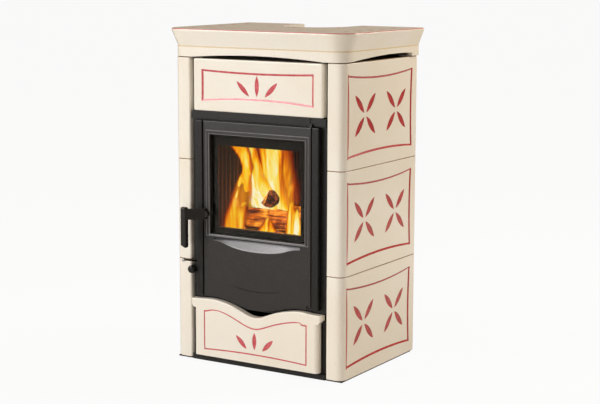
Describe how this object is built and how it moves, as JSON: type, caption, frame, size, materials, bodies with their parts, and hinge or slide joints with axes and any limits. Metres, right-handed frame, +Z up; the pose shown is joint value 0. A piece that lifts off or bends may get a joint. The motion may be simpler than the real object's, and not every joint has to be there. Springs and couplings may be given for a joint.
{
  "type": "wood stove",
  "caption": "Free-standing wood stove with a glazed door, cream ceramic side tiles, a moulded crown with a flue notch and a drawer under the door.",
  "frame": {"origin": "on the floor, under the middle of the tiled body's footprint", "axes": "+X to the right seen from the front, +Y to the back, +Z up; the door faces -Y"},
  "size_m": [0.662, 0.522, 1.054],
  "materials": {
    "glazed_tile": "cream gloss glaze with engraved red ornament",
    "door_iron": "matt black stove paint, fine cast grain",
    "hearth_iron": "bare casting, sooted",
    "black_steel": "matt black heat-proof paint",
    "zinc_steel": "dull zinc",
    "black_handle": "satin black",
    "bright_ball": "polished",
    "pane": "clear, black border",
    "seal": "woven glass-fibre rope",
    "pads": "matt",
    "refractory": "pressed vermiculite, sooted",
    "log": "bark, charred"
  },
  "bodies": {
    "stove": {"air_box": "black_steel", "ash_pan": "zinc_steel", "baffle": "refractory", "base_plate": "black_steel", "chassis": "black_steel", "crown": "glazed_tile", "crown_pad_front_left": "pads", "crown_pad_front_right": "pads", "crown_pad_rear_left": "pads", "crown_pad_rear_right": "pads", "drawer_runner_left": "black_steel", "drawer_runner_right": "black_steel", "firebox": "black_steel", "flue_collar": "hearth_iron", "foot_front_left": "pads", "foot_front_right": "pads", "foot_rear_left": "pads", "foot_rear_right": "pads", "front_frame": "door_iron", "grate": "hearth_iron", "hearth_plate": "hearth_iron", "hinge_pin_lower": "zinc_steel", "hinge_pin_upper": "zinc_steel", "hob_plate": "hearth_iron", "latch_keeper": "zinc_steel", "left_tile_lower": "glazed_tile", "left_tile_middle": "glazed_tile", "left_tile_upper": "glazed_tile", "lining_left": "refractory", "lining_rear": "refractory", "lining_right": "refractory", "log_front": "log", "log_guard": "hearth_iron", "log_rear": "log", "log_top": "log", "rear_shield": "black_steel", "right_tile_lower": "glazed_tile", "right_tile_middle": "glazed_tile", "right_tile_upper": "glazed_tile", "tile_rail_front_left": "zinc_steel", "tile_rail_front_right": "zinc_steel", "tile_rail_rear_left": "zinc_steel", "tile_rail_rear_right": "zinc_steel", "top_tile": "glazed_tile", "top_tile_ledge": "black_steel"},
    "door": {"door": "door_iron", "door_glass": "pane", "glass_gasket": "seal", "glass_clip_right": "zinc_steel", "glass_clip_left": "zinc_steel", "door_seal": "seal"},
    "handle": {"handle": "black_handle", "latch_cam": "zinc_steel", "latch_nut": "zinc_steel"},
    "drawer": {"drawer_box": "black_steel", "drawer_tile": "glazed_tile"},
    "primary_air": {"primary_air_disc": "zinc_steel", "primary_air_knob": "black_handle"},
    "secondary_air": {"secondary_air_rod": "black_handle", "secondary_air_ball": "bright_ball"}
  },
  "joints": [
    {"name": "door_hinge", "type": "hinge", "parent": "stove", "child": "door", "pos_m": [0.191, -0.227, 0.49], "axis": [0, 0, 1], "range_deg": [0, 105]},
    {"name": "handle_turn", "type": "hinge", "parent": "door", "child": "handle", "pos_m": [-0.182, -0.232, 0.48], "axis": [0, 1, 0], "range_deg": [0, 80]},
    {"name": "drawer_slide", "type": "slide", "parent": "stove", "child": "drawer", "axis": [0, -1, 0], "range_m": [0, 0.25]},
    {"name": "primary_air_turn", "type": "hinge", "parent": "stove", "child": "primary_air", "pos_m": [-0.2362, -0.216, 0.298], "axis": [0, 1, 0], "range_deg": [0, 90]},
    {"name": "secondary_air_slide", "type": "slide", "parent": "stove", "child": "secondary_air", "axis": [0, -1, 0], "range_m": [0, 0.025]}
  ]
}
